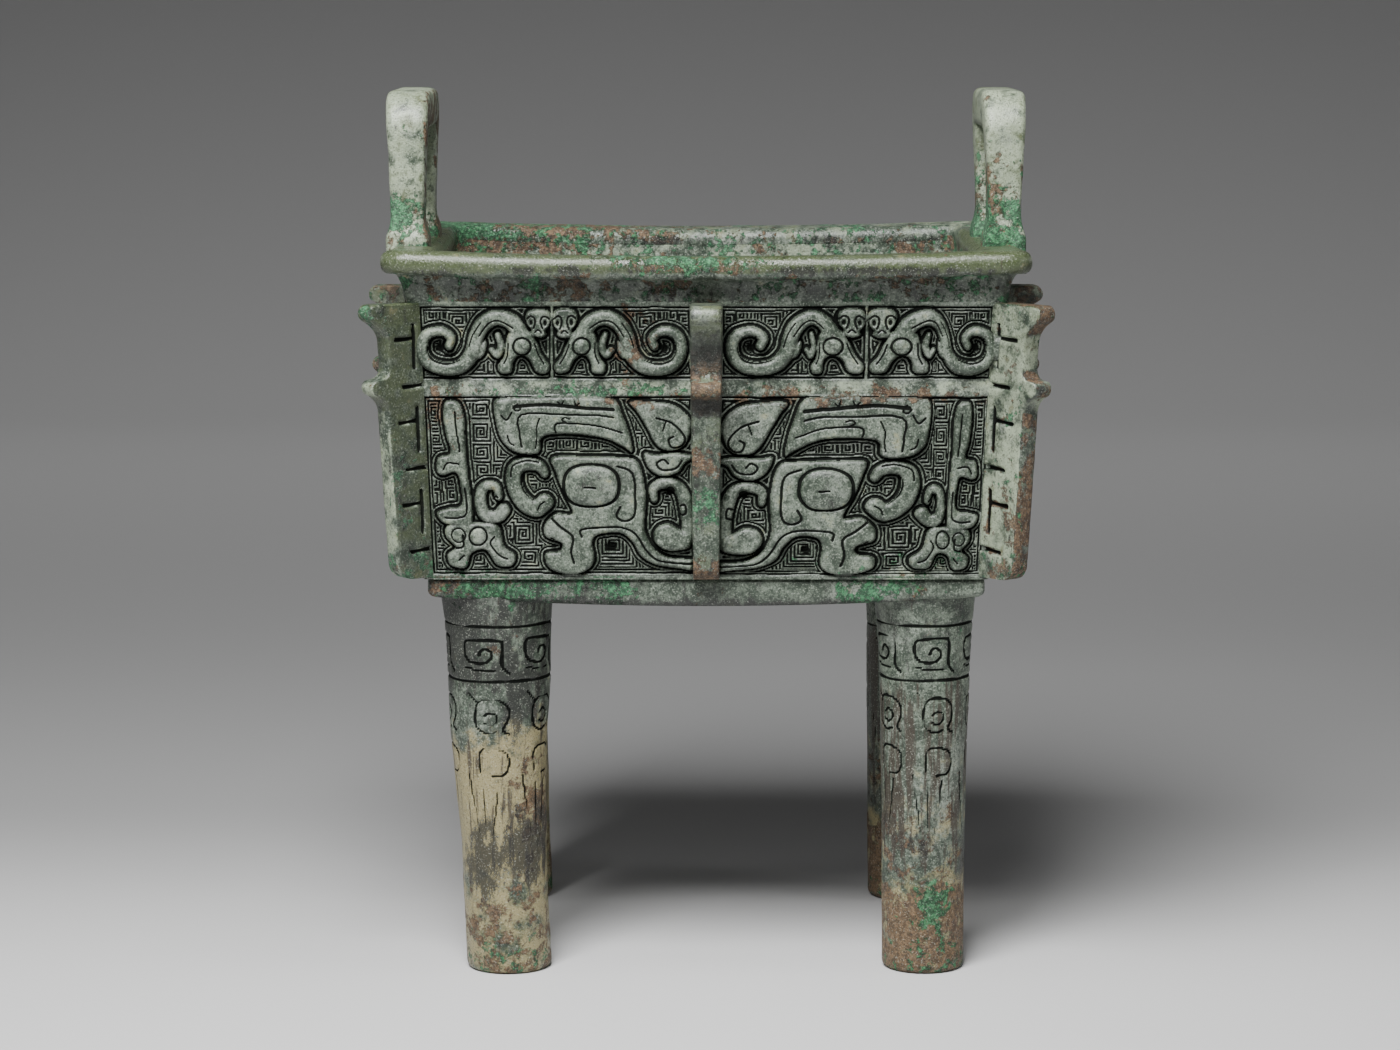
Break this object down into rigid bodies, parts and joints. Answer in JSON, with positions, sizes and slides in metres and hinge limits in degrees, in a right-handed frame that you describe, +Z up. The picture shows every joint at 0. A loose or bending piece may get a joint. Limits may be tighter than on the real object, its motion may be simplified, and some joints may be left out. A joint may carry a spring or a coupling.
{
  "type": "square bronze ding",
  "caption": "Rectangular four-legged cast bronze vessel with upright loop handles, hooked flanges and mask and dragon relief.",
  "frame": {"origin": "centre of the footprint, on the surface that the feet stand on", "axes": "+Z up, X along the long side, -Y towards the front long wall"},
  "size_m": [0.2308, 0.1878, 0.2925],
  "materials": {
    "patinated_bronze": "old cast bronze with grey-green patina, black in the grooves, malachite crust and earth"
  },
  "bodies": {
    "root": {"square_ding": "patinated_bronze"}
  },
  "joints": []
}
